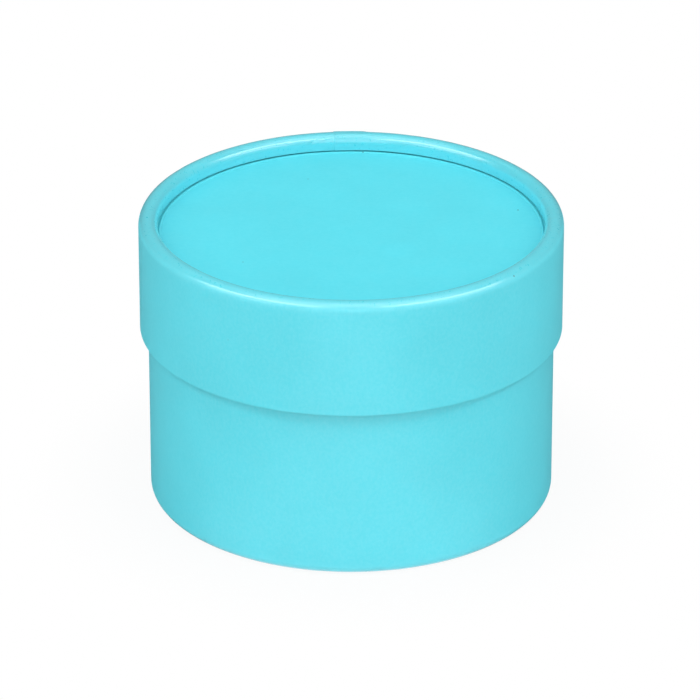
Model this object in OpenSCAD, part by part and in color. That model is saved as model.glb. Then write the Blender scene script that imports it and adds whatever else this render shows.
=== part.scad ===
// Round keepsake box of wound board, with a lift-off lid.
// Each half is a wound tube whose closed end is rolled inwards over a pressed disc.
// The roll stands proud of the disc, as a rounded rim on the lid and as a foot under the base.
// Origin: the centre of the foot, on the surface that the box stands on. +Z is up.

/* [Box] */
// Outer diameter of the lid
lid_d = 90; // [70:1:120]
// Height of the closed box
closed_h = 63.4; // [52:0.5:90]
// Height of the lid, from its rolled rim to its open edge
lid_h = 25.2; // [16:0.2:36]
// Clearance between the lid and the base, on each side
slip = 0.4; // [0.3:0.05:0.6]
// Gap between the lid's disc and the base's open edge
rest_gap = 0.2; // [0.1:0.05:0.5]

/* [Wall] */
// Thickness of the wound board
board_t = 1.05; // [0.8:0.05:1.2]
// Thickness of the coloured cover paper
cover_t = 0.12; // [0.08:0.01:0.16]
// Thickness of the lining paper
lining_t = 0.1; // [0.06:0.01:0.14]
// Thickness of the glue line between two curved layers
glue_t = 0.06; // [0.04:0.01:0.08]
// Width of the lap where the cover paper's end lies over its start
lap_w = 8; // [5:0.5:12]
// Direction of the middle of the lid's lap, in degrees round the box
lid_lap_at = 90; // [0:5:355]
// Direction of the middle of the base's lap, in degrees round the box
base_lap_at = 115; // [0:5:355]

/* [Rolled edges] */
// Outer radius of the lid's shoulder, where its wall turns into the roll
lid_shoulder_r = 2.5; // [2:0.1:3]
// Outer radius of the base's shoulder
base_shoulder_r = 2; // [1.8:0.1:3]
// Outer radius of the roll's inner half, past the crown
inner_roll_r = 1.6; // [1.5:0.05:2]
// Depth by which the crown of a roll is pressed flat
crown_press = 0.03; // [0.02:0.01:0.06]
// Depth of the disc below the flat on the crown
recess = 3.7; // [3:0.1:4.5]
// Gap between the roll's cut edge and the disc's paper
press_gap = 0.15; // [0.1:0.05:0.3]

/* [Discs] */
// Thickness of the pressed board discs
disc_t = 1.5; // [1:0.1:2]
// Thickness of the papers glued on both sides of a disc
disc_paper_t = 0.12; // [0.08:0.01:0.16]
// Clearance between a disc's edge and the wound board
disc_fit = 0.05; // [0.04:0.01:0.1]

/* [Hidden] */
$fn = 180;

cover_blue = [0.41, 0.88, 0.94];
board_grey = [0.66, 0.61, 0.54];
lining_white = [0.93, 0.92, 0.89];

// Depths below a tube's outer face at which its layers start and end
board_from = cover_t + glue_t;
board_to = board_from + board_t;
lining_from = board_to + glue_t;
wall_t = lining_from + lining_t;

lid_r = lid_d / 2;
base_r = lid_r - wall_t - slip;

disc_stack = disc_t + 2 * disc_paper_t;
lid_disc_underside = closed_h - recess - disc_stack;
base_h = lid_disc_underside - rest_gap;

// Quarter of a ring, on the side where both of its coordinates are positive
module quarter_ring(inner_r, outer_r) {
    intersection() {
        difference() {
            circle(r = outer_r);
            circle(r = inner_r);
        }
        square(2 * outer_r);
    }
}

// Section of a layer that lies between two depths below a tube's outer face.
// The wall turns inwards over the shoulder and back down, and its leg stops above the disc.
// The flat on the crown is at height zero, and the open end is at the bottom.
module layer_section(tube_r, tube_h, shoulder_r, from, to) {
    thickness = to - from;
    crown_at = tube_r - shoulder_r;
    wall_top = crown_press - shoulder_r;
    leg_top = crown_press - inner_roll_r;
    leg_end = press_gap - recess;
    difference() {
        union() {
            translate([tube_r - to, -tube_h])
                square([thickness, tube_h + wall_top]);
            translate([crown_at, wall_top])
                quarter_ring(shoulder_r - to, shoulder_r - from);
            translate([crown_at, leg_top])
                mirror([1, 0])
                    quarter_ring(inner_roll_r - to, inner_roll_r - from);
            translate([crown_at - inner_roll_r + from, leg_end])
                square([thickness, leg_top - leg_end]);
        }
        translate([crown_at - shoulder_r, 0])
            square([2 * shoulder_r, shoulder_r]);
    }
}

// Wound board of a tube
module board(tube_r, tube_h, shoulder_r) {
    rotate_extrude()
        layer_section(tube_r, tube_h, shoulder_r, board_from, board_to);
}

// Cover paper, twice as thick where its end laps over its start
module cover(tube_r, tube_h, shoulder_r, lap_at) {
    lap_angle = 360 * lap_w / (2 * PI * tube_r);
    rotate_extrude()
        layer_section(tube_r, tube_h, shoulder_r, 0, cover_t);
    rotate_extrude(start = lap_at - lap_angle / 2, angle = lap_angle)
        layer_section(tube_r, tube_h, shoulder_r, -cover_t, cover_t);
}

// Lining paper, from under the disc to the open end
module lining(tube_r, tube_h) {
    top = -recess - disc_stack;
    rotate_extrude()
        translate([tube_r - wall_t, -tube_h])
            square([lining_t, tube_h + top]);
}

// One layer of a disc, which starts at a depth below the crown
module disc_layer(tube_r, depth, thickness) {
    translate([0, 0, -depth - thickness])
        cylinder(r = tube_r - board_to - disc_fit, h = thickness);
}

// Places a lid piece, which is drawn with its crown at height zero
module on_lid() {
    translate([0, 0, closed_h])
        children();
}

// Places a base piece, which is drawn the same way and stands on its crown
module on_base() {
    mirror([0, 0, 1])
        children();
}

module lid_tube() {
    color(board_grey)
        on_lid()
            board(lid_r, lid_h, lid_shoulder_r);
}

module lid_cover() {
    color(cover_blue)
        on_lid()
            cover(lid_r, lid_h, lid_shoulder_r, lid_lap_at);
}

module lid_lining() {
    color(lining_white)
        on_lid()
            lining(lid_r, lid_h);
}

module lid_disc() {
    color(board_grey)
        on_lid()
            disc_layer(lid_r, recess + disc_paper_t, disc_t);
}

module lid_disc_facing() {
    color(cover_blue)
        on_lid()
            disc_layer(lid_r, recess, disc_paper_t);
}

module lid_disc_liner() {
    color(lining_white)
        on_lid()
            disc_layer(lid_r, recess + disc_paper_t + disc_t, disc_paper_t);
}

module base_tube() {
    color(board_grey)
        on_base()
            board(base_r, base_h, base_shoulder_r);
}

module base_cover() {
    color(cover_blue)
        on_base()
            cover(base_r, base_h, base_shoulder_r, base_lap_at);
}

module base_lining() {
    color(lining_white)
        on_base()
            lining(base_r, base_h);
}

module base_disc() {
    color(board_grey)
        on_base()
            disc_layer(base_r, recess + disc_paper_t, disc_t);
}

module base_disc_facing() {
    color(cover_blue)
        on_base()
            disc_layer(base_r, recess, disc_paper_t);
}

module base_disc_liner() {
    color(lining_white)
        on_base()
            disc_layer(base_r, recess + disc_paper_t + disc_t, disc_paper_t);
}

lid_tube();
lid_cover();
lid_lining();
lid_disc();
lid_disc_facing();
lid_disc_liner();
base_tube();
base_cover();
base_lining();
base_disc();
base_disc_facing();
base_disc_liner();
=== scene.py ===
import math
from collections import namedtuple

import bpy
import numpy as np
from bpy.props import FloatProperty, FloatVectorProperty, IntProperty, PointerProperty
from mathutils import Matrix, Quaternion, Vector


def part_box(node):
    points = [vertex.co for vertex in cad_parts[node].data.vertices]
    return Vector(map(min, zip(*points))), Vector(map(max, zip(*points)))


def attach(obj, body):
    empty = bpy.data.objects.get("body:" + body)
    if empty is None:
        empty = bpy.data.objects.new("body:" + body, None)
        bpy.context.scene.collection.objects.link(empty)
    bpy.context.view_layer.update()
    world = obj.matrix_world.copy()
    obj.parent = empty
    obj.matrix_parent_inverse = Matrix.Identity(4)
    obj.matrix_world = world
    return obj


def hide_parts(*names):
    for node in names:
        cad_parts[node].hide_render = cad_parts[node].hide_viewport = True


bl_info = {
    "name": "Rolled rim paper box",
    "version": (1, 0, 0),
    "blender": (4, 5, 0),
    "location": "3D View > Sidebar > Paper box",
    "description": "Builds the papers, boards and studio of a round box with a lift-off lid",
    "category": "Mesh",
}

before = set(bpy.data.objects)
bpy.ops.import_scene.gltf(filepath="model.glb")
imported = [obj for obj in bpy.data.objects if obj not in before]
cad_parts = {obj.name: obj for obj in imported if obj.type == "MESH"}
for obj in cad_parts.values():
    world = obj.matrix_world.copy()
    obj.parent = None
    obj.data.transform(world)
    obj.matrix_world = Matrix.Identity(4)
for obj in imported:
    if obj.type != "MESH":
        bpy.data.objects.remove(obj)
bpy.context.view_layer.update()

MM = 0.001
TURN = 2 * math.pi
HALVES = ("lid", "base")

# Sizes that the packed solids already hold
LID_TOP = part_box("lid_cover")[1].z
LID_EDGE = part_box("lid_cover")[0].z
BASE_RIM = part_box("base_cover")[1].z
LID_RADIUS = -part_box("lid_cover")[0].x
BASE_RADIUS = -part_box("base_cover")[0].x
BOARD_DEPTH = LID_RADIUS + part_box("lid_tube")[0].x
LINING_DEPTH = LID_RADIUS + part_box("lid_lining")[0].x
LID_RECESS = LID_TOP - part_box("lid_disc_facing")[1].z

# Camera that was fitted to the outline of the box in the photograph
PHOTO_WIDTH_PX = 700
PHOTO_FOCAL_PX = 5689.9
PHOTO_AXIS_PX = (351.18, 350.0)
SENSOR_WIDTH_MM = 36.0
CAMERA_DISTANCE = 1.2143
CAMERA_ELEVATION = math.radians(25.81)
CAMERA_PITCH = math.radians(25.875)
CAMERA_AIM_HEIGHT = 0.033
CAMERA_PLACE = (
    0,
    -CAMERA_DISTANCE * math.cos(CAMERA_ELEVATION),
    CAMERA_AIM_HEIGHT + CAMERA_DISTANCE * math.sin(CAMERA_ELEVATION),
)

# Pixels at which the photograph shows small marks and creases, and how a crease runs there
PALE_PATCH_PX = (400, 250)
RIGHT_SPECK_PX = (518, 210)
LEFT_SPECK_PX = (243, 262)
FAR_LEFT_SPECK_PX = (308, 179)
FAR_SPECK_PX = (363, 152.5)
RIM_SPECK_PX = (514, 276)
SKIRT_SPECK_PX = (228, 340)
LONG_CREASE_PX = (313, 142)
LONG_CREASE_RUN_PX = (12, -13)
LEFT_CREASE_PX = (288, 143)
LEFT_CREASE_RUN_PX = (9, -7)
FAR_CREASE_PX = (355, 141)
FAR_CREASE_RUN_PX = (10, -3)
FOOT_CREASE_PX = (371, 564)
FOOT_CREASE_RUN_PX = (36, -14)

# Radius of the round ring that stands in for the lid's roll where a mark on it is looked for, how
# far a ray is searched before and behind the camera's distance, and at how many points
MARKED_ROLL = 2.2 * MM
RAY_REACH = 0.1
RAY_STEPS = 4001

# Columns round the box, the angle below which two of them become one, and the angle from which an
# edge is kept sharp
COVER_COLUMNS = 480
BOARD_COLUMNS = 360
DISC_COLUMNS = 360
SAME_COLUMN = 2e-5
SHARP_ANGLE = math.radians(40)

# Rows of points along a wall: even ones, then closer ones over the last stretch before the roll
FAR_ROWS = 12
NEAR_ROWS = 12
NEAR_STRETCH = 5 * MM
SHOULDER_ROWS = 18
INNER_ROWS = 16
LEG_ROWS = 5
LINING_ROWS = 12

# Extra columns beside a lap's cut edge, over its rise, over a pleat and over a crease
LAP_CUT_STEPS = np.array([-0.4, -0.15, -0.04, 0.04, 0.15, 0.4]) * MM
LAP_RISE_COLUMNS = 7
PLEAT_COLUMNS = 7
PLEAT_SPAN = 2.2
CREASE_COLUMNS = 17

# Unevenness: the draws, how often a wave goes round, how it leans, and where it starts and is full
SEEDS = {"lid": 11, "base": 23}
WAVE_TURNS = np.arange(2, 10)
WAVE_LEAN = 60
RIPPLE_TURNS = np.arange(17, 47, 3)
RIPPLE_LEAN = 250
RIPPLE_START = -5 * MM
RIPPLE_FULL = 1 * MM
PLEAT_WIDTHS = (0.25 * MM, 0.8 * MM)
PLEAT_DEPTH_SHARES = (0.3, 1)
PLEAT_LEAN = 0.6
PLEAT_START = -0.5 * MM
PLEAT_FULL = 1.5 * MM
CREASE_FULL_SHARE = 0.4
LAP_CUT = 0.03 * MM
CROWN_SOFTNESS = 0.02 * MM

# Disc papers: the cut edge, the lip's crest, climb and clearance by the leg, and the rings of points
PANEL_EDGE = 0.03 * MM
LIP_CREST = 0.35 * MM
LIP_CLIMB = 0.45 * MM
LIP_CLEARANCE = 0.05 * MM
OPEN_RINGS = 20
OPEN_CLEARANCE = 1.2 * MM
LIP_RINGS = np.linspace(-1, 0.1, 23) * MM
HIDDEN_RINGS = 4
HIDDEN_CLEARANCE = 0.4 * MM

# Spans of the patterns over which shades change, flecks show and varnish is worn
NOISE_SPAN = (0.3, 0.7)
FLECK_SPAN = (0.35, 0.65)
WEAR_SPAN = (0.4, 0.5)

# Shades that the clouds and the fibres of each material run through, and the cover's roughness
COVER_CLOUDS = (0.975, 1.02)
COVER_FIBRES = (0.99, 1.01)
COVER_ROUGHNESS = (0.46, 0.54)
LINING_CLOUDS = (0.97, 1.02)
LINING_FIBRES = (0.95, 1.03)
BOARD_FIBRES = (0.8, 1.15)

# Varnish on the flat papers and on the rolled edges, the share of it left where it is worn, how
# pale flecks and rolled edges are, and how much smoother a burnished edge is. The rolled edges'
# paleness is partly stretched paper and partly painted sheen
PLAIN_SHINE = 0.12
ROLLED_SHINE = 0.9
WORN_SHARE = 0.75
FLECK_PALENESS = 0.036
ROLLED_PALENESS_AND_SHEEN = 0.04
BURNISH = 0.2
PLAIN_GLOSS = {"Coat Weight": PLAIN_SHINE, "IOR": 1.5, "Coat Roughness": 0.4}
ROLLED_GLOSS = {"IOR": 1.7, "Coat IOR": 1.9, "Coat Roughness": 0.15}

# Depths below the top and above the foot between which a paper turns pale, partly from stretching
# and partly as painted sheen, and turns shiny
STRETCH_AND_SHEEN_DEPTHS = (2.6 * MM, 1 * MM)
BURNISHED_DEPTHS = (1.3 * MM, 0.6 * MM)
# Radius inside which the roll is pale and shiny all over; the paleness there is partly stretched paper
# and partly painted sheen
ROLL_INSIDE = LID_RADIUS - 3 * MM
ROLL_INSIDE_FADE = 0.4 * MM

# Plies of the boards, and the part of a ply's wave that shows as a dark line
TUBE_PLY = 0.35 * MM
DISC_PLY = 0.5 * MM
PLY_LINE_SPAN = (0.6, 1.0)
PLY_LINE_SHADE = 0.72

# Studio floor, and the distances over which it changes for the camera and for shiny faces
WHITE = (1, 1, 1, 1)
FLOOR_RINGS = (0, 0.1, 0.3, 0.8, 2, 6)
FLOOR_COLUMNS = 96
FLOOR_DROP = 0.02 * MM
FLOOR_THICKNESS = 2 * MM
FLOOR_WHITE_SPAN = (0.045, 0.075)
STRIP_EDGE_SPAN = (0.03, 0.07)
STRIP_START_SPAN = (0.02, 0.045)
MIRRORED_FLOOR = 0.12
CEILING_SPAN = (0.3, 0.85)


class BoxPapers(bpy.types.PropertyGroup):
    """Sizes of the papers and of their small unevenness."""

    cover: FloatProperty(
        name="Cover paper", description="Thickness of the coloured paper on the tubes",
        default=0.12 * MM, min=0.05 * MM, max=0.2 * MM, precision=6, subtype="DISTANCE", unit="LENGTH")
    lining: FloatProperty(
        name="Lining paper", description="Thickness of the paper inside the tubes",
        default=0.1 * MM, min=0.05 * MM, max=0.2 * MM, precision=6, subtype="DISTANCE", unit="LENGTH")
    lap_width: FloatProperty(
        name="Lap width", description="Width of the lap where the cover paper ends on its start",
        default=8 * MM, min=4 * MM, max=14 * MM, subtype="DISTANCE", unit="LENGTH")
    lap_rise: FloatProperty(
        name="Lap rise", description="Length over which the paper climbs onto its own start",
        default=1.6 * MM, min=0.2 * MM, max=3 * MM, subtype="DISTANCE", unit="LENGTH")
    lid_lap_at: FloatProperty(
        name="Lid lap", description="Direction of the middle of the lid's lap",
        default=math.radians(90), subtype="ANGLE", unit="ROTATION")
    base_lap_at: FloatProperty(
        name="Base lap", description="Direction of the middle of the base's lap",
        default=math.radians(115), subtype="ANGLE", unit="ROTATION")
    sway: FloatProperty(
        name="Sway", description="Depth of the long, low waves in the wound wall",
        default=0.045 * MM, min=0, max=0.1 * MM, precision=6, subtype="DISTANCE", unit="LENGTH")
    ripple: FloatProperty(
        name="Ripple", description="Depth of the short waves that rolling leaves on a rim",
        default=0.018 * MM, min=0, max=0.03 * MM, precision=6, subtype="DISTANCE", unit="LENGTH")
    pleat: FloatProperty(
        name="Pleat", description="Depth of the creases where the paper gathers on a rim's inner side",
        default=0.03 * MM, min=0, max=0.05 * MM, precision=6, subtype="DISTANCE", unit="LENGTH")
    pleats: IntProperty(
        name="Pleats", description="Number of gathered creases round a rim",
        default=18, min=0, max=60)


class BoxRolls(bpy.types.PropertyGroup):
    """Sizes of the two rolled edges."""

    lid_shoulder: FloatProperty(
        name="Lid shoulder", description="Radius at which the lid's wall turns into its roll",
        default=2.2 * MM, min=2 * MM, max=3 * MM, precision=5, subtype="DISTANCE", unit="LENGTH")
    base_shoulder: FloatProperty(
        name="Base shoulder", description="Radius at which the base's wall turns into its roll",
        default=2 * MM, min=1.8 * MM, max=3 * MM, precision=5, subtype="DISTANCE", unit="LENGTH")
    lid_inner: FloatProperty(
        name="Lid inner roll", description="Radius of the inner half of the lid's roll",
        default=1.9 * MM, min=1.5 * MM, max=2.2 * MM, precision=5, subtype="DISTANCE", unit="LENGTH")
    base_inner: FloatProperty(
        name="Base inner roll", description="Radius of the inner half of the base's roll",
        default=1.6 * MM, min=1.5 * MM, max=2.2 * MM, precision=5, subtype="DISTANCE", unit="LENGTH")
    press: FloatProperty(
        name="Crown press", description="Depth by which a roll's crown is pressed flat",
        default=0.03 * MM, min=0.01 * MM, max=0.06 * MM, precision=6, subtype="DISTANCE", unit="LENGTH")
    gap: FloatProperty(
        name="Press gap", description="Gap between a roll's cut edge and the disc",
        default=0.3 * MM, min=0.1 * MM, max=0.4 * MM, precision=6, subtype="DISTANCE", unit="LENGTH")
    lip: FloatProperty(
        name="Lip", description="Height of the lip that pressing leaves on a disc's paper by the roll",
        default=0.15 * MM, min=0, max=0.3 * MM, precision=6, subtype="DISTANCE", unit="LENGTH")


class BoxColours(bpy.types.PropertyGroup):
    """Colours of the papers and boards."""

    cover: FloatVectorProperty(
        name="Cover paper", description="Colour of the satin cover paper",
        default=(0.084, 0.745, 0.868), size=3, min=0, max=1, subtype="COLOR")
    # On the rolled edges this pale colour stands partly for stretched paper and partly for painted sheen
    core: FloatVectorProperty(
        name="Paper core", description="Colour of the paper's core, which shows where it is stretched",
        default=(0.9, 0.94, 0.95), size=3, min=0, max=1, subtype="COLOR")
    lining: FloatVectorProperty(
        name="Lining paper", description="Colour of the uncoated paper inside",
        default=(0.83, 0.82, 0.77), size=3, min=0, max=1, subtype="COLOR")
    board: FloatVectorProperty(
        name="Wound board", description="Colour of the raw board of the tubes",
        default=(0.39, 0.33, 0.25), size=3, min=0, max=1, subtype="COLOR")
    disc: FloatVectorProperty(
        name="Disc board", description="Colour of the pressed board of the discs",
        default=(0.34, 0.3, 0.235), size=3, min=0, max=1, subtype="COLOR")


class BoxStudio(bpy.types.PropertyGroup):
    """Floor and lamps of the studio."""

    floor: FloatVectorProperty(
        name="Floor", description="Colour of the pale floor",
        default=(0.8, 0.8, 0.8), size=3, min=0, max=1, subtype="COLOR")
    floor_white: FloatProperty(
        name="Floor white", description="Share of white with which the camera sees the floor by the box",
        default=0.92, min=0, max=1)
    side_power: FloatProperty(
        name="Side lamps", description="Power of each of the two side softboxes",
        default=2.4, min=0, max=50, subtype="POWER", unit="POWER")
    low_power: FloatProperty(
        name="Low side lamps", description="Power of each of the two low fill lamps at the sides",
        default=1.2, min=0, max=50, subtype="POWER", unit="POWER")
    front_power: FloatProperty(
        name="Front lamp", description="Power of the low softbox in front",
        default=3.7, min=0, max=50, subtype="POWER", unit="POWER")
    top_power: FloatProperty(
        name="Top lamp", description="Power of the softbox overhead",
        default=3.0, min=0, max=50, subtype="POWER", unit="POWER")
    back_power: FloatProperty(
        name="Back lamp", description="Power of the high softbox behind",
        default=0.5, min=0, max=50, subtype="POWER", unit="POWER")
    rear_power: FloatProperty(
        name="Rear fill lamp", description="Power of the low fill lamp behind",
        default=1.6, min=0, max=50, subtype="POWER", unit="POWER")
    backdrop: FloatProperty(
        name="Backdrop", description="Strength with which shiny faces see the backdrop's lower part",
        default=0.14, min=0, max=1)
    ceiling: FloatProperty(
        name="Ceiling", description="Strength with which shiny faces see the dim ceiling",
        default=0.08, min=0, max=1)
    sky: FloatProperty(
        name="Sky", description="Strength of the even light from all round",
        default=0.4, min=0, max=2)


Settings = namedtuple("Settings", "papers rolls")
Lamp = namedtuple("Lamp", "name power azimuth elevation distance width height roll")
LAMPS = (
    Lamp("left_softbox", "side_power", -60, 48, 1.0, 1.05, 0.2, 18),
    Lamp("right_softbox", "side_power", 60, 48, 1.0, 1.05, 0.2, -18),
    Lamp("left_fill", "low_power", -60, 25, 1.0, 0.8, 0.3, 0),
    Lamp("right_fill", "low_power", 60, 25, 1.0, 0.8, 0.3, 0),
    Lamp("front_softbox", "front_power", 0, 18, 1.5, 1.3, 1.2, 0),
    Lamp("top_softbox", "top_power", 0, 80, 1.1, 1.3, 0.9, 0),
    Lamp("back_softbox", "back_power", 180, 62, 1.2, 1.2, 0.7, 0),
    Lamp("back_fill", "rear_power", 180, 18, 1.2, 0.9, 0.5, 0),
)
# Lamps that only fill shade, and that shiny faces don't mirror
UNMIRRORED = ("back_fill",)

# Looks of a paper's or board's surface: scales of its clouds and fibres, the fibres' share of the
# bump, the fibres' scale along each axis, and the bump's strength and depth
Grain = namedtuple("Grain", "clouds fibres fibre_share stretch strength depth")
WRAP_GRAIN = Grain(60, 1500, 0.3, (1, 1, 0.8), 0.7, 0.02 * MM)
PANEL_GRAIN = WRAP_GRAIN._replace(stretch=(0.8, 1, 1))
LINING_GRAIN = Grain(220, 2600, 0.7, (1, 1, 0.4), 0.8, 0.03 * MM)
BOARD_GRAIN = Grain(400, 3000, 0.6, (1, 1, 1), 0.9, 0.04 * MM)

# Small marks: the middle, the radius, and the shade of the middle, which is under one where it is dark
Mark = namedtuple("Mark", "place radius shade")
# Faint creases: the middle, the direction across, the half width, the half length and the depth
Crease = namedtuple("Crease", "place across reach length depth")


def photo_ray(pixel):
    """Camera's place and the direction in which it sees a pixel of the photograph."""
    across = (pixel[0] - PHOTO_AXIS_PX[0]) / PHOTO_FOCAL_PX
    up = (PHOTO_AXIS_PX[1] - pixel[1]) / PHOTO_FOCAL_PX
    cosine = math.cos(CAMERA_PITCH)
    sine = math.sin(CAMERA_PITCH)
    return Vector(CAMERA_PLACE), Vector((across, cosine + up * sine, up * cosine - sine))


def on_disc(pixel):
    """Point of the lid's disc that the photograph shows at a pixel."""
    eye, ray = photo_ray(pixel)
    return eye + ray * ((LID_TOP - LID_RECESS - eye.z) / ray.z)


def on_wall(pixel, radius):
    """Point of a wall of the given radius that the photograph shows at a pixel."""
    eye, ray = photo_ray(pixel)
    a = ray.x ** 2 + ray.y ** 2
    b = eye.x * ray.x + eye.y * ray.y
    c = eye.x ** 2 + eye.y ** 2 - radius ** 2
    return eye + ray * ((-b - math.sqrt(b * b - a * c)) / a)


def on_roll(pixel):
    """Point of the lid's roll, taken as a round ring, that the photograph shows at a pixel."""
    eye, ray = photo_ray(pixel)
    steps = CAMERA_DISTANCE + np.linspace(-RAY_REACH, RAY_REACH, RAY_STEPS)
    points = np.array(eye) + steps[:, None] * np.array(ray)
    across = np.hypot(points[:, 0], points[:, 1]) - (LID_RADIUS - MARKED_ROLL)
    upward = points[:, 2] - (LID_TOP - MARKED_ROLL)
    return Vector(points[np.argmax(np.hypot(across, upward) < MARKED_ROLL)])


def across_line(run):
    """Direction across a line that runs so many columns right and rows down in the photograph."""
    columns, rows = run
    up = Vector((0, math.sin(CAMERA_PITCH), math.cos(CAMERA_PITCH)))
    return (Vector((rows, 0, 0)) + columns * up).normalized()


DISC_MARKS = (
    Mark(on_disc(PALE_PATCH_PX), 4.5 * MM, 1.015),
    Mark(on_disc(RIGHT_SPECK_PX), 0.26 * MM, 0.3),
    Mark(on_disc(LEFT_SPECK_PX), 0.3 * MM, 0.75),
    Mark(on_disc(FAR_LEFT_SPECK_PX), 0.3 * MM, 0.8),
    Mark(on_disc(FAR_SPECK_PX), 0.3 * MM, 0.5),
)
WALL_MARKS = (
    Mark(on_roll(RIM_SPECK_PX), 0.24 * MM, 0.3),
    Mark(on_wall(SKIRT_SPECK_PX, LID_RADIUS), 0.2 * MM, 0.85),
)
FOOT_CREASE_PLACE = on_wall(FOOT_CREASE_PX, BASE_RADIUS)
CREASES = {
    "lid": (
        Crease(on_roll(LONG_CREASE_PX), across_line(LONG_CREASE_RUN_PX), 0.5 * MM, 2.6 * MM, 0.045 * MM),
        Crease(on_roll(LEFT_CREASE_PX), across_line(LEFT_CREASE_RUN_PX), 0.4 * MM, 2 * MM, 0.03 * MM),
        Crease(on_roll(FAR_CREASE_PX), across_line(FAR_CREASE_RUN_PX), 0.4 * MM, 1.6 * MM, 0.02 * MM),
    ),
    "base": (
        Crease(FOOT_CREASE_PLACE, across_line(FOOT_CREASE_RUN_PX), 0.8 * MM, 4.6 * MM, 0.05 * MM),
    ),
}


# Geometry

def smooth(low, high, value):
    """Smooth step: nought below low, one above high, and a cubic between them."""
    share = np.clip((value - low) / (high - low), 0, 1)
    return share * share * (3 - 2 * share)


def turn_from(angle, start):
    """Angle measured from start, brought between minus and plus half a turn."""
    return (angle - start + math.pi) % TURN - math.pi


def column_angles(count, places, radius):
    """Even columns round the box, with extra ones where a small feature needs them.

    places holds, for each feature, its angle and the arc lengths beside it that get a column.
    """
    angles = [np.arange(count) * (TURN / count)]
    for at, arcs in places:
        angles.append(at + np.asarray(arcs) / radius)
    every = np.sort(np.concatenate(angles) % TURN)
    kept = np.concatenate([[True], np.diff(every) > SAME_COLUMN])
    return every[kept]


def roll_path(radius, height, shoulder, inner_roll, rolls):
    """Outer line of a tube with a rolled rim, from its open edge to the end of the roll's leg.

    The wall is straight, the shoulder is a quarter circle, the inner half of the roll is a
    smaller quarter circle and the leg is straight. The crown is at height nought. Returns the
    radius, height, radial and upward part of the normal, and the length along the line.
    """
    wall_top = rolls.press - shoulder
    leg_top = rolls.press - inner_roll
    leg_end = rolls.gap - LID_RECESS
    crown = radius - shoulder
    outer = np.linspace(0, math.pi / 2, SHOULDER_ROWS + 1)[1:]
    inner = np.linspace(math.pi / 2, math.pi, INNER_ROWS + 1)[1:]
    leg_share = np.linspace(0, 1, LEG_ROWS + 1)[1:]
    near_z = wall_top - NEAR_STRETCH
    wall_z = np.concatenate([
        np.linspace(-height, near_z, FAR_ROWS), np.linspace(near_z, wall_top, NEAR_ROWS + 1)[1:]])
    wall_r = np.full_like(wall_z, radius)
    outer_r = crown + shoulder * np.cos(outer)
    outer_z = wall_top + shoulder * np.sin(outer)
    inner_r = crown + inner_roll * np.cos(inner)
    inner_z = leg_top + inner_roll * np.sin(inner)
    leg_r = np.full_like(leg_share, crown - inner_roll)
    leg_z = leg_top + leg_share * (leg_end - leg_top)
    normal_r = np.concatenate([
        np.ones_like(wall_z), np.cos(outer), np.cos(inner), -np.ones_like(leg_z)])
    normal_z = np.concatenate([
        np.zeros_like(wall_z), np.sin(outer), np.sin(inner), np.zeros_like(leg_z)])
    r = np.concatenate([wall_r, outer_r, inner_r, leg_r])
    z = np.concatenate([wall_z, outer_z, inner_z, leg_z])
    along = np.concatenate([[0], np.cumsum(np.hypot(np.diff(r), np.diff(z)))])
    return r, z, normal_r, normal_z, along


def press_crown(height):
    """Presses what stands above the crown's plane down to it, with a soft shoulder."""
    return 0.5 * (height - np.hypot(height, CROWN_SOFTNESS))


def set_mesh(name, points, corners, sizes):
    """New object from an array of points, the corner indices of all faces and each face's size."""
    mesh = bpy.data.meshes.new(name)
    mesh.vertices.add(len(points))
    mesh.vertices.foreach_set("co", points.astype(np.float32).ravel())
    mesh.loops.add(len(corners))
    mesh.loops.foreach_set("vertex_index", corners.astype(np.int32))
    mesh.polygons.add(len(sizes))
    starts = np.concatenate([[0], np.cumsum(sizes)[:-1]])
    mesh.polygons.foreach_set("loop_start", starts.astype(np.int32))
    mesh.update(calc_edges=True)
    mesh.shade_smooth()
    mesh.set_sharp_from_angle(angle=SHARP_ANGLE)
    if mesh.validate():
        raise RuntimeError(f"{name} has faulty faces")
    piece = bpy.data.objects.new(name, mesh)
    bpy.context.scene.collection.objects.link(piece)
    return piece


def ring_shell(name, angles, r, z, flip):
    """Closed ring: a closed section, given at each angle, is carried once round the axis.

    r and z are arrays of columns by section points. flip turns the faces the other way.
    """
    columns, rows = r.shape
    points = np.stack([r * np.cos(angles)[:, None], r * np.sin(angles)[:, None], z], axis=-1)
    column = np.arange(columns)[:, None]
    row = np.arange(rows)[None, :]
    here = column * rows + row
    above = column * rows + (row + 1) % rows
    beside = (column + 1) % columns * rows + row
    across = (column + 1) % columns * rows + (row + 1) % rows
    quads = np.stack([here, beside, across, above], axis=-1)
    if flip:
        quads = quads[..., ::-1]
    return set_mesh(name, points.reshape(-1, 3), quads.ravel(), np.full(columns * rows, 4))


def disc_shell(name, columns, r, z):
    """Closed disc: a section that starts and ends on the axis is turned round it.

    r and z hold the section's points. Each end closes in a fan round one point.
    """
    rows = len(r)
    angles = np.arange(columns) * (TURN / columns)
    height = np.broadcast_to(z, (columns, rows))
    ring = np.stack([np.outer(np.cos(angles), r), np.outer(np.sin(angles), r), height], axis=-1)
    inner = ring[:, 1:-1].reshape(-1, 3)
    count = rows - 2
    points = np.concatenate([inner, [[0, 0, z[0]], [0, 0, z[-1]]]])
    column = np.arange(columns)
    after = (column + 1) % columns
    row = np.arange(count - 1)[None, :]
    here = column[:, None] * count + row
    beside = after[:, None] * count + row
    quads = np.stack([here, beside, beside + 1, here + 1], axis=-1).reshape(-1, 4)
    start = np.full(columns, len(inner))
    fans = np.concatenate([
        np.stack([start, after * count, column * count], axis=-1),
        np.stack([start + 1, column * count + count - 1, after * count + count - 1], axis=-1),
    ])
    corners = np.concatenate([quads.ravel(), fans.ravel()])
    sizes = np.concatenate([np.full(len(quads), 4), np.full(len(fans), 3)])
    return set_mesh(name, points, corners, sizes)


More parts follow.
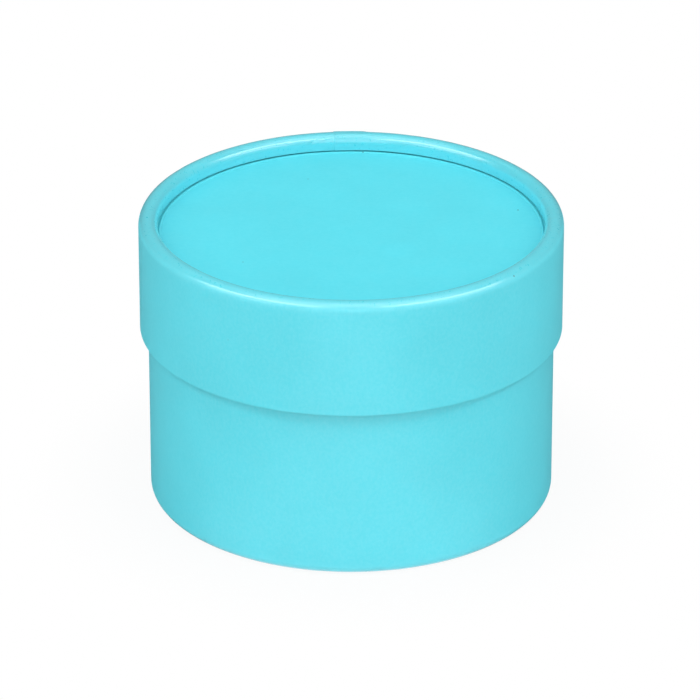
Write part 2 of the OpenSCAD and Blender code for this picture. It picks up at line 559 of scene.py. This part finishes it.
def lip_rise(r, leg, height):
    """Height of a facing's lip at a radius: it climbs towards the roll's leg and drops before it."""
    crest = leg - LIP_CREST
    climb = smooth(crest - LIP_CLIMB, crest, r)
    drop = 1 - smooth(crest, leg - LIP_CLEARANCE, r)
    return height * climb * drop


def panel_section(low, high, leg, lip_height, body):
    """Section of a disc's paper, whose lip, if it has one, rises on the outer side of its half.

    low and high are the corners of the packed solid. The rings of points are even over the open
    disc, close together at the lip and few under the roll.
    """
    ring = np.concatenate([
        np.linspace(0, leg - OPEN_CLEARANCE, OPEN_RINGS),
        leg + LIP_RINGS,
        np.linspace(leg + HIDDEN_CLEARANCE, high.x - PANEL_EDGE, HIDDEN_RINGS),
    ])
    lip = lip_rise(ring, leg, lip_height)
    under = low.z - lip * (body == "base")
    over = high.z + lip * (body == "lid")
    r = np.concatenate([ring, [high.x, high.x], ring[::-1]])
    z = np.concatenate([under, [low.z + PANEL_EDGE, high.z - PANEL_EDGE], over[::-1]])
    return r, z


class Half:
    """One half of the box, the lid or the base, with its sizes and its own unevenness."""

    def __init__(self, settings, name):
        papers = settings.papers
        rolls = settings.rolls
        self.name = name
        self.papers = papers
        self.rolls = rolls
        self.is_lid = name == "lid"
        self.radius = LID_RADIUS if self.is_lid else BASE_RADIUS
        self.height = LID_TOP - LID_EDGE if self.is_lid else BASE_RIM
        self.shoulder = rolls.lid_shoulder if self.is_lid else rolls.base_shoulder
        self.inner_roll = rolls.lid_inner if self.is_lid else rolls.base_inner
        self.lap_at = papers.lid_lap_at if self.is_lid else papers.base_lap_at
        draw = np.random.default_rng(SEEDS[name])
        self.wave_start = draw.uniform(0, TURN, len(WAVE_TURNS))
        self.wave_lean = draw.uniform(-WAVE_LEAN, WAVE_LEAN, len(WAVE_TURNS))
        self.ripple_start = draw.uniform(0, TURN, len(RIPPLE_TURNS))
        self.ripple_lean = draw.uniform(-RIPPLE_LEAN, RIPPLE_LEAN, len(RIPPLE_TURNS))
        self.pleat_at = draw.uniform(0, TURN, papers.pleats)
        self.pleat_width = draw.uniform(*PLEAT_WIDTHS, papers.pleats)
        self.pleat_lean = draw.uniform(-PLEAT_LEAN, PLEAT_LEAN, papers.pleats)
        self.pleat_depth = draw.uniform(*PLEAT_DEPTH_SHARES, papers.pleats) * papers.pleat

    def angles(self, count):
        """Columns for this half, closer together at its lap, its pleats and its creases."""
        half = self.papers.lap_width / 2
        rise = np.linspace(0, self.papers.lap_rise, LAP_RISE_COLUMNS)
        places = [(self.lap_at, half + LAP_CUT_STEPS), (self.lap_at, -half + rise)]
        spread = np.linspace(-PLEAT_SPAN, PLEAT_SPAN, PLEAT_COLUMNS)
        for at, width in zip(self.pleat_at, self.pleat_width):
            places.append((at, spread * width))
        for crease in CREASES[self.name]:
            at = math.atan2(crease.place.y, crease.place.x)
            places.append((at, np.linspace(-1, 1, CREASE_COLUMNS) * crease.length))
        return column_angles(count, places, self.radius)

    def path(self):
        """The tube's outer line, with the crown at height nought."""
        return roll_path(self.radius, self.height, self.shoulder, self.inner_roll, self.rolls)

    def dents(self, angles, along):
        """How far the wall lies inside its true shape, for each column and point of the line.

        A sum of long waves, of short ripples that grow towards the roll, and of pleats, which
        are narrow bells across the roll's inner side.
        """
        angle = angles[:, None, None]
        length = along[None, :, None]
        wall_end = self.height + self.rolls.press
        waves = np.cos(WAVE_TURNS * angle + self.wave_start + self.wave_lean * length)
        swell = (waves / WAVE_TURNS).sum(-1) / (1 / WAVE_TURNS).sum()
        ripples = np.cos(RIPPLE_TURNS * angle + self.ripple_start + self.ripple_lean * length)
        near_roll = smooth(wall_end + RIPPLE_START, wall_end + RIPPLE_FULL, along)[None, :]
        short = ripples.mean(-1) * near_roll
        slanted = self.pleat_at + self.pleat_lean * (length - wall_end) / self.radius
        offset = turn_from(angle, slanted) * self.radius / self.pleat_width
        inside = smooth(wall_end + PLEAT_START, wall_end + PLEAT_FULL, along)[None, :]
        pleats = (np.exp(-offset * offset) * self.pleat_depth).sum(-1) * inside
        low = self.papers.sway * (0.5 + 0.5 * swell)
        return low + self.papers.ripple * (1 + short) + np.minimum(pleats, self.papers.pleat)

    def crease_depth(self, angles, r, z):
        """Depth of the creases that the photograph shows, for each column and point of the line.

        Each is a bell across its line, and fades towards both ends.
        """
        columns = [np.outer(np.cos(angles), r), np.outer(np.sin(angles), r)]
        height = np.broadcast_to(self.placed(z), columns[0].shape)
        points = np.stack([*columns, height], axis=-1)
        depth = np.zeros_like(height)
        for crease in CREASES[self.name]:
            away = points - np.array(crease.place)
            valley = 1 - smooth(0, crease.reach, np.abs(away @ np.array(crease.across)))
            full = CREASE_FULL_SHARE * crease.length
            middle = 1 - smooth(full, crease.length, np.linalg.norm(away, axis=-1))
            depth = depth + crease.depth * valley * middle
        return depth

    def lap_lift(self, angles):
        """Height of the upper paper on the lap: a slow rise at one side, a cut edge at the other."""
        arc = turn_from(angles, self.lap_at) * self.radius
        half = self.papers.lap_width / 2
        rise = smooth(-half, -half + self.papers.lap_rise, arc)
        cut = 1 - smooth(half - LAP_CUT, half + LAP_CUT, arc)
        return self.papers.cover * rise * cut

    def placed(self, height):
        """Height in the row frame, from a height measured from the crown."""
        return LID_TOP + height if self.is_lid else -height

    def layer(self, name, outer_depth, inner_depth, lapped, count):
        """Shell that lies between two depths below the tube's outer face, roll included."""
        angles = self.angles(count)
        r, z, normal_r, normal_z, along = self.path()
        dents = self.dents(angles, along)
        if lapped:
            dents = dents + self.crease_depth(angles, r, z)
        outer = -outer_depth - dents
        if lapped:
            outer = outer + self.lap_lift(angles)[:, None]
        inner = -inner_depth - dents
        outer_r = r + normal_r * outer
        outer_z = press_crown(z + normal_z * outer)
        inner_r = r + normal_r * inner
        inner_z = press_crown(z + normal_z * inner)
        section_r = np.concatenate([outer_r, inner_r[:, ::-1]], axis=1)
        section_z = np.concatenate([outer_z, inner_z[:, ::-1]], axis=1)
        return ring_shell(name, angles, section_r, self.placed(section_z), not self.is_lid)


# Materials

def new_material(name, plain):
    """Material with its shader and its output. plain holds the shader's even values."""
    material = bpy.data.materials.new(name)
    material.use_nodes = True
    tree = material.node_tree
    tree.nodes.clear()
    shader = add_node(tree, "ShaderNodeBsdfPrincipled", plain)
    output = tree.nodes.new("ShaderNodeOutputMaterial")
    tree.links.new(shader.outputs["BSDF"], output.inputs["Surface"])
    return material, tree, shader


def add_node(tree, kind, values=None, links=None, **attributes):
    """Node of a kind, with its attributes, the values of its inputs and what feeds them."""
    node = tree.nodes.new(kind)
    for key, value in attributes.items():
        setattr(node, key, value)
    for key, value in (values or {}).items():
        node.inputs[key].default_value = value
    for key, source in (links or {}).items():
        tree.links.new(source, node.inputs[key])
    return node


def paper_group():
    """Clouds and fibres of a paper, shared by every paper and board of the box.

    Puts out a cloud and a fibre pattern, both round one half, and a height for the bump.
    """
    name = "paper surface"
    if name in bpy.data.node_groups:
        return bpy.data.node_groups[name]
    group = bpy.data.node_groups.new(name, "ShaderNodeTree")
    for socket in ("Place", "Fibre Place"):
        group.interface.new_socket(socket, in_out="INPUT", socket_type="NodeSocketVector")
    for socket in ("Cloud Scale", "Fibre Scale", "Fibre Height"):
        group.interface.new_socket(socket, in_out="INPUT", socket_type="NodeSocketFloat")
    for socket in ("Cloud", "Fibre", "Height"):
        group.interface.new_socket(socket, in_out="OUTPUT", socket_type="NodeSocketFloat")
    entry = group.nodes.new("NodeGroupInput").outputs
    leave = group.nodes.new("NodeGroupOutput").inputs
    cloud = add_node(group, "ShaderNodeTexNoise", {"Detail": 3.0, "Roughness": 0.55},
                     {"Vector": entry["Place"], "Scale": entry["Cloud Scale"]})
    fibre = add_node(group, "ShaderNodeTexNoise", {"Detail": 4.0, "Roughness": 0.6},
                     {"Vector": entry["Fibre Place"], "Scale": entry["Fibre Scale"]})
    height = add_node(group, "ShaderNodeMix", data_type="FLOAT", links={
        "Factor": entry["Fibre Height"], "A": cloud.outputs["Fac"], "B": fibre.outputs["Fac"]})
    group.links.new(cloud.outputs["Fac"], leave["Cloud"])
    group.links.new(fibre.outputs["Fac"], leave["Fibre"])
    group.links.new(height.outputs["Result"], leave["Height"])
    return group


def add_math(tree, operation, *terms, clamp=False):
    """Result of an operation on its terms, each of which is a number or what feeds it."""
    node = add_node(tree, "ShaderNodeMath", operation=operation, use_clamp=clamp)
    for place, term in enumerate(terms):
        if isinstance(term, bpy.types.NodeSocket):
            tree.links.new(term, node.inputs[place])
        else:
            node.inputs[place].default_value = term
    return node.outputs["Value"]


def add_range(tree, source, low, high, to_low, to_high, curve="LINEAR"):
    """Value that runs from to_low to to_high while the source runs from low to high."""
    node = add_node(tree, "ShaderNodeMapRange", {
        "From Min": low, "From Max": high, "To Min": to_low, "To Max": to_high,
    }, {"Value": source}, interpolation_type=curve)
    return node.outputs["Result"]


def add_shade(tree, pattern, low, high):
    """Value that runs from low to high over the usual span of a pattern."""
    return add_range(tree, pattern, *NOISE_SPAN, low, high)


def add_tint(tree, colour, *shades):
    """Colour times each of the shades, which are values round one."""
    shade = shades[0]
    for other in shades[1:]:
        shade = add_math(tree, "MULTIPLY", shade, other)
    tint = add_node(tree, "ShaderNodeVectorMath", {0: colour}, {"Scale": shade}, operation="SCALE")
    return tint.outputs["Vector"]


def add_blend(tree, share, colour, other):
    """Colour that gives way to another one by a share."""
    node = add_node(tree, "ShaderNodeMix", {"B": (*other, 1)}, {"Factor": share, "A": colour},
                    data_type="RGBA")
    return node.outputs["Result"]


def add_surface(tree, shader, grain):
    """Surface of a paper or board, whose bump goes to the shader. Returns its patterns."""
    place = tree.nodes.new("ShaderNodeTexCoord").outputs["Object"]
    drawn = add_node(tree, "ShaderNodeMapping", {"Scale": grain.stretch}, {"Vector": place})
    surface = add_node(tree, "ShaderNodeGroup", node_tree=paper_group(), values={
        "Cloud Scale": grain.clouds, "Fibre Scale": grain.fibres, "Fibre Height": grain.fibre_share,
    }, links={"Place": place, "Fibre Place": drawn.outputs["Vector"]}).outputs
    bump = add_node(tree, "ShaderNodeBump", {"Strength": grain.strength, "Distance": grain.depth},
                    {"Height": surface["Height"]})
    tree.links.new(bump.outputs["Normal"], shader.inputs["Normal"])
    return surface


def cover_paper(name, colours, grain, marks, rolled):
    """Satin paper: faint clouds, drawn fibres, small marks and a soft gloss under a thin varnish.

    A rolled paper was stretched and burnished on both rims, where it shines more and is paler. The
    paleness is partly stretched paper and partly painted sheen.
    """
    material, tree, shader = new_material(name, ROLLED_GLOSS if rolled else PLAIN_GLOSS)
    surface = add_surface(tree, shader, grain)
    cloud = add_shade(tree, surface["Cloud"], *COVER_CLOUDS)
    fibre = add_shade(tree, surface["Fibre"], *COVER_FIBRES)
    spots = [add_mark(tree, mark) for mark in marks]
    fleck = add_range(tree, surface["Fibre"], *FLECK_SPAN, 0, FLECK_PALENESS)
    colour = add_blend(tree, fleck, add_tint(tree, colours.cover, cloud, fibre, *spots), colours.core)
    roughness = add_shade(tree, surface["Fibre"], *COVER_ROUGHNESS)
    if rolled:
        # Paler colour on the rims and the roll's inside: partly stretched paper, partly painted sheen
        stretched = rolled_share(tree, *STRETCH_AND_SHEEN_DEPTHS)
        paleness_and_sheen = add_range(tree, stretched, 0, 1, 0, ROLLED_PALENESS_AND_SHEEN)
        colour = add_blend(tree, paleness_and_sheen, colour, colours.core)
        burnished = rolled_share(tree, *BURNISHED_DEPTHS)
        roughness = add_math(tree, "MULTIPLY_ADD", burnished, -BURNISH, roughness)
        worn = add_range(tree, surface["Fibre"], *WEAR_SPAN, WORN_SHARE, 1)
        shine = add_math(tree, "MULTIPLY", burnished, worn)
        varnish = add_range(tree, shine, 0, 1, PLAIN_SHINE, ROLLED_SHINE)
        tree.links.new(varnish, shader.inputs["Coat Weight"])
    tree.links.new(roughness, shader.inputs["Roughness"])
    tree.links.new(colour, shader.inputs["Base Color"])
    return material


def add_mark(tree, mark):
    """Shade of one small mark: its own up to half its radius, and one outside it."""
    place = tree.nodes.new("ShaderNodeTexCoord")
    away = add_node(tree, "ShaderNodeVectorMath", {1: mark.place}, {0: place.outputs["Object"]},
                    operation="DISTANCE")
    return add_range(tree, away.outputs["Value"], mark.radius / 2, mark.radius, mark.shade, 1)


def rolled_share(tree, start, full):
    """One on the rolled edges, nought on the walls.

    It grows between two depths below the top and above the foot, and is one on the inside.
    """
    place = tree.nodes.new("ShaderNodeTexCoord").outputs["Object"]
    height = add_node(tree, "ShaderNodeSeparateXYZ", links={"Vector": place}).outputs["Z"]
    middle = LID_TOP / 2
    away = add_math(tree, "ABSOLUTE", add_math(tree, "SUBTRACT", height, middle))
    near_end = add_range(tree, away, middle - start, middle - full, 0, 1)
    inside = add_range(tree, add_radius(tree), ROLL_INSIDE - ROLL_INSIDE_FADE, ROLL_INSIDE, 1, 0)
    return add_math(tree, "MAXIMUM", near_end, inside)


def add_radius(tree):
    """Distance from the box's axis."""
    place = tree.nodes.new("ShaderNodeTexCoord").outputs["Object"]
    flat = add_node(tree, "ShaderNodeMapping", {"Scale": (1, 1, 0)}, {"Vector": place}).outputs["Vector"]
    return add_node(tree, "ShaderNodeVectorMath", operation="LENGTH", links={0: flat}).outputs["Value"]


def lining_paper(colours):
    """Uncoated off-white paper: matt, with visible fibre clouds."""
    material, tree, shader = new_material("uncoated_paper", {
        "Roughness": 0.78, "Specular IOR Level": 0.3})
    surface = add_surface(tree, shader, LINING_GRAIN)
    cloud = add_shade(tree, surface["Cloud"], *LINING_CLOUDS)
    fibre = add_shade(tree, surface["Fibre"], *LINING_FIBRES)
    tree.links.new(add_tint(tree, colours.lining, cloud, fibre), shader.inputs["Base Color"])
    return material


def raw_board(name, colour, ply):
    """Raw grey board: fibres and flecks, and plies of the given thickness round the axis."""
    material, tree, shader = new_material(name, {"Roughness": 0.9, "Specular IOR Level": 0.2})
    surface = add_surface(tree, shader, BOARD_GRAIN)
    wave = add_math(tree, "SINE", add_math(tree, "MULTIPLY", add_radius(tree), TURN / ply))
    line = add_range(tree, wave, *PLY_LINE_SPAN, 1, PLY_LINE_SHADE)
    fleck = add_shade(tree, surface["Fibre"], *BOARD_FIBRES)
    tree.links.new(add_tint(tree, colour, line, fleck), shader.inputs["Base Color"])
    return material


def material_of(finish):
    """The material of a finish, built at its first use."""
    colours = bpy.context.scene.box_colours
    makers = {
        "satin_wrap": lambda: cover_paper("satin_wrap", colours, WRAP_GRAIN, WALL_MARKS, True),
        "satin_panel": lambda: cover_paper("satin_panel", colours, PANEL_GRAIN, DISC_MARKS, False),
        "uncoated_paper": lambda: lining_paper(colours),
        "ply_board": lambda: raw_board("ply_board", colours.board, TUBE_PLY),
        "pressed_board": lambda: raw_board("pressed_board", colours.disc, DISC_PLY),
    }
    return bpy.data.materials.get(finish) or makers[finish]()


def finish_piece(piece, body, finish, node):
    """Gives a new piece its material, hangs it on its half's empty and hides the packed solid it
    replaces.
    """
    piece.data.materials.append(material_of(finish))
    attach(piece, body)
    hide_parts(node)


# Operators

def settings_of(context):
    """The property groups that the geometry reads."""
    scene = context.scene
    return Settings(scene.box_papers, scene.box_rolls)


class BOX_OT_covers(bpy.types.Operator):
    """Build the coloured papers that wrap both tubes"""

    bl_idname = "paper_box.covers"
    bl_label = "Cover papers"

    def execute(self, context):
        for name in HALVES:
            half = Half(settings_of(context), name)
            piece = half.layer(f"{name}_wrap_paper", 0, half.papers.cover, True, COVER_COLUMNS)
            finish_piece(piece, name, "satin_wrap", f"{name}_cover")
        return {"FINISHED"}


class BOX_OT_boards(bpy.types.Operator):
    """Build the wound boards of both tubes"""

    bl_idname = "paper_box.boards"
    bl_label = "Wound boards"

    def execute(self, context):
        for name in HALVES:
            half = Half(settings_of(context), name)
            glue = BOARD_DEPTH - half.papers.cover
            inner_depth = LINING_DEPTH - glue
            piece = half.layer(f"{name}_wound_board", BOARD_DEPTH, inner_depth, False, BOARD_COLUMNS)
            finish_piece(piece, name, "ply_board", f"{name}_tube")
        return {"FINISHED"}


class BOX_OT_linings(bpy.types.Operator):
    """Build the lining papers inside both tubes"""

    bl_idname = "paper_box.linings"
    bl_label = "Lining papers"

    def execute(self, context):
        for name in HALVES:
            half = Half(settings_of(context), name)
            low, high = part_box(f"{name}_lining")
            angles = half.angles(COVER_COLUMNS)
            rows = np.linspace(low.z, high.z, LINING_ROWS)
            outer = np.full((len(angles), len(rows)), half.radius - LINING_DEPTH)
            inner = outer - half.papers.lining
            section_r = np.concatenate([outer, inner], axis=1)
            section_z = np.broadcast_to(np.concatenate([rows, rows[::-1]]), section_r.shape)
            piece = ring_shell(f"{name}_inner_paper", angles, section_r, section_z, False)
            finish_piece(piece, name, "uncoated_paper", f"{name}_lining")
        return {"FINISHED"}


class BOX_OT_panels(bpy.types.Operator):
    """Build the papers on both sides of the two discs"""

    bl_idname = "paper_box.panels"
    bl_label = "Disc papers"

    def execute(self, context):
        rolls = context.scene.box_rolls
        papers = (
            ("lid", "lid_disc_facing", "lid_panel_paper", "cover_paper", "satin_panel"),
            ("lid", "lid_disc_liner", "lid_ceiling_paper", "lining_paper", "uncoated_paper"),
            ("base", "base_disc_facing", "base_panel_paper", "cover_paper", "satin_panel"),
            ("base", "base_disc_liner", "base_floor_paper", "lining_paper", "uncoated_paper"),
        )
        for body, node, name, slot, finish in papers:
            low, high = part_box(node)
            half = Half(settings_of(context), body)
            leg = half.radius - half.shoulder - half.inner_roll
            lip_height = rolls.lip if "facing" in node else 0
            r, z = panel_section(low, high, leg, lip_height, body)
            piece = disc_shell(name, DISC_COLUMNS, r, z)
            finish_piece(piece, body, finish, node)
        return {"FINISHED"}


class BOX_OT_discs(bpy.types.Operator):
    """Give the two pressed discs their board"""

    bl_idname = "paper_box.discs"
    bl_label = "Disc boards"

    def execute(self, context):
        for node in ("lid_disc", "base_disc"):
            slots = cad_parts[node].data.materials
            slots.clear()
            slots.append(material_of("pressed_board"))
        return {"FINISHED"}


def add_lamp(lamp, power):
    """Rectangular softbox that faces the box. Azimuth nought is the camera's side."""
    light = bpy.data.lights.new(lamp.name, "AREA")
    light.shape = "RECTANGLE"
    light.size = lamp.width
    light.size_y = lamp.height
    light.energy = power
    piece = bpy.data.objects.new(lamp.name, light)
    bpy.context.scene.collection.objects.link(piece)
    azimuth = math.radians(lamp.azimuth)
    elevation = math.radians(lamp.elevation)
    flat = math.cos(elevation)
    out = Vector((flat * math.sin(azimuth), -flat * math.cos(azimuth), math.sin(elevation)))
    turn = out.to_track_quat("Z", "Y") @ Quaternion((0, 0, 1), math.radians(lamp.roll))
    piece.location = Vector((0, 0, CAMERA_AIM_HEIGHT)) + lamp.distance * out
    piece.rotation_euler = turn.to_euler()
    piece.visible_camera = False
    piece.visible_glossy = lamp.name not in UNMIRRORED
    return piece


def add_mirror_ray(tree, path):
    """One for a ray that a shiny or clear face sends out, nought for every other."""
    return add_math(tree, "ADD", path["Is Glossy Ray"], path["Is Transmission Ray"], clamp=True)


def floor_paint(studio):
    """Pale matt floor, where the camera and shiny faces see plain white in place of its shading.

    The camera sees a share of it by the box and it alone further out. Shiny faces see it dimmed,
    and at full strength only on a strip in front of the box.
    """
    material, tree, shader = new_material("studio_floor", {
        "Base Color": (*studio.floor, 1), "Roughness": 0.9, "Specular IOR Level": 0})
    path = tree.nodes.new("ShaderNodeLightPath").outputs
    place = tree.nodes.new("ShaderNodeTexCoord").outputs["Object"]
    far = add_node(tree, "ShaderNodeVectorMath", operation="LENGTH", links={0: place}).outputs["Value"]
    seen = add_range(tree, far, *FLOOR_WHITE_SPAN, studio.floor_white, 1, "SMOOTHSTEP")
    split = add_node(tree, "ShaderNodeSeparateXYZ", links={"Vector": place}).outputs
    aside = add_math(tree, "ABSOLUTE", split["X"])
    ahead = add_math(tree, "MULTIPLY", split["Y"], -1)
    strip = add_range(tree, aside, *STRIP_EDGE_SPAN, 1, 0, "SMOOTHSTEP")
    reach = add_range(tree, ahead, *STRIP_START_SPAN, 0, 1, "SMOOTHSTEP")
    mirrored = add_math(tree, "MULTIPLY_ADD", strip, reach, MIRRORED_FLOOR, clamp=True)
    by_camera = add_math(tree, "MULTIPLY", seen, path["Is Camera Ray"])
    mirror_ray = add_mirror_ray(tree, path)
    level = add_node(tree, "ShaderNodeMix", {"A": 1}, {"Factor": mirror_ray, "B": mirrored},
                     data_type="FLOAT")
    white = add_node(tree, "ShaderNodeEmission", {"Color": WHITE}, {"Strength": level.outputs["Result"]})
    mixed = add_node(tree, "ShaderNodeMixShader", links={
        0: add_math(tree, "ADD", by_camera, mirror_ray, clamp=True),
        1: shader.outputs["BSDF"],
        2: white.outputs["Emission"],
    })
    output = next(node for node in tree.nodes if node.type == "OUTPUT_MATERIAL")
    tree.links.new(mixed.outputs["Shader"], output.inputs["Surface"])
    return material


class BOX_OT_stage(bpy.types.Operator):
    """Build the floor, the lamps, the surroundings and the camera"""

    bl_idname = "paper_box.stage"
    bl_label = "Studio"

    def execute(self, context):
        studio = context.scene.box_studio
        self.floor(studio)
        self.world(context.scene, studio)
        for lamp in LAMPS:
            add_lamp(lamp, getattr(studio, lamp.power))
        self.camera(context.scene)
        context.scene.view_settings.view_transform = "Standard"
        return {"FINISHED"}

    def floor(self, studio):
        """Flat round floor, a hair's breadth under the box's foot."""
        ring = np.array(FLOOR_RINGS)
        r = np.concatenate([ring, ring[::-1]])
        z = np.repeat([-FLOOR_THICKNESS, -FLOOR_DROP], len(ring))
        floor = disc_shell("studio_floor", FLOOR_COLUMNS, r, z)
        floor.data.materials.append(floor_paint(studio))

    def world(self, scene, studio):
        """Dim even light from all round, in front of which the backdrop is seen as plain white.

        The camera sees white everywhere. Shiny faces see a dim backdrop that fades upwards.
        """
        world = bpy.data.worlds.new("studio")
        scene.world = world
        world.use_nodes = True
        tree = world.node_tree
        tree.nodes.clear()
        path = tree.nodes.new("ShaderNodeLightPath").outputs
        place = tree.nodes.new("ShaderNodeTexCoord").outputs["Generated"]
        height = add_node(tree, "ShaderNodeSeparateXYZ", links={"Vector": place}).outputs["Z"]
        backdrop = add_range(tree, height, *CEILING_SPAN, studio.backdrop, studio.ceiling)
        strength = add_node(tree, "ShaderNodeMix", {"A": studio.sky}, data_type="FLOAT", links={
            "Factor": add_mirror_ray(tree, path), "B": backdrop})
        light = add_node(tree, "ShaderNodeBackground", {"Color": WHITE},
                         {"Strength": strength.outputs["Result"]})
        white = add_node(tree, "ShaderNodeBackground", {"Color": WHITE, "Strength": 1})
        mixed = add_node(tree, "ShaderNodeMixShader", links={
            0: path["Is Camera Ray"], 1: light.outputs["Background"], 2: white.outputs["Background"]})
        output = tree.nodes.new("ShaderNodeOutputWorld")
        tree.links.new(mixed.outputs["Shader"], output.inputs["Surface"])

    def camera(self, scene):
        """Camera that stands where the photograph was taken from."""
        camera = bpy.data.cameras.new("photo_camera")
        camera.sensor_width = SENSOR_WIDTH_MM
        camera.lens = PHOTO_FOCAL_PX / PHOTO_WIDTH_PX * SENSOR_WIDTH_MM
        camera.shift_x = (PHOTO_WIDTH_PX / 2 - PHOTO_AXIS_PX[0]) / PHOTO_WIDTH_PX
        piece = bpy.data.objects.new("photo_camera", camera)
        scene.collection.objects.link(piece)
        piece.location = CAMERA_PLACE
        piece.rotation_euler = (math.pi / 2 - CAMERA_PITCH, 0, 0)
        scene.camera = piece


class BOX_PT_panel(bpy.types.Panel):
    """Sidebar panel that lists the sizes, the colours and the steps"""

    bl_label = "Paper box"
    bl_idname = "BOX_PT_panel"
    bl_space_type = "VIEW_3D"
    bl_region_type = "UI"
    bl_category = "Paper box"

    def draw(self, context):
        for key in GROUPS:
            settings = getattr(context.scene, key)
            box = self.layout.box()
            box.label(text=GROUPS[key].__doc__)
            for name in GROUPS[key].__annotations__:
                box.prop(settings, name)
        for step in STEPS:
            self.layout.operator(step.bl_idname)


GROUPS = {
    "box_papers": BoxPapers,
    "box_rolls": BoxRolls,
    "box_colours": BoxColours,
    "box_studio": BoxStudio,
}
STEPS = (BOX_OT_covers, BOX_OT_boards, BOX_OT_linings, BOX_OT_panels, BOX_OT_discs, BOX_OT_stage)


def register():
    """Registers the classes and hangs the settings on the scene."""
    for item in (*GROUPS.values(), *STEPS, BOX_PT_panel):
        bpy.utils.register_class(item)
    for key, group in GROUPS.items():
        setattr(bpy.types.Scene, key, PointerProperty(type=group))


def unregister():
    """Takes the settings and the classes away again."""
    for key in GROUPS:
        delattr(bpy.types.Scene, key)
    for item in (BOX_PT_panel, *STEPS, *GROUPS.values()):
        bpy.utils.unregister_class(item)


def main():
    """Builds every piece and the studio."""
    register()
    bpy.ops.paper_box.covers()
    bpy.ops.paper_box.boards()
    bpy.ops.paper_box.linings()
    bpy.ops.paper_box.panels()
    bpy.ops.paper_box.discs()
    bpy.ops.paper_box.stage()


if __name__ == "__main__":
    main()
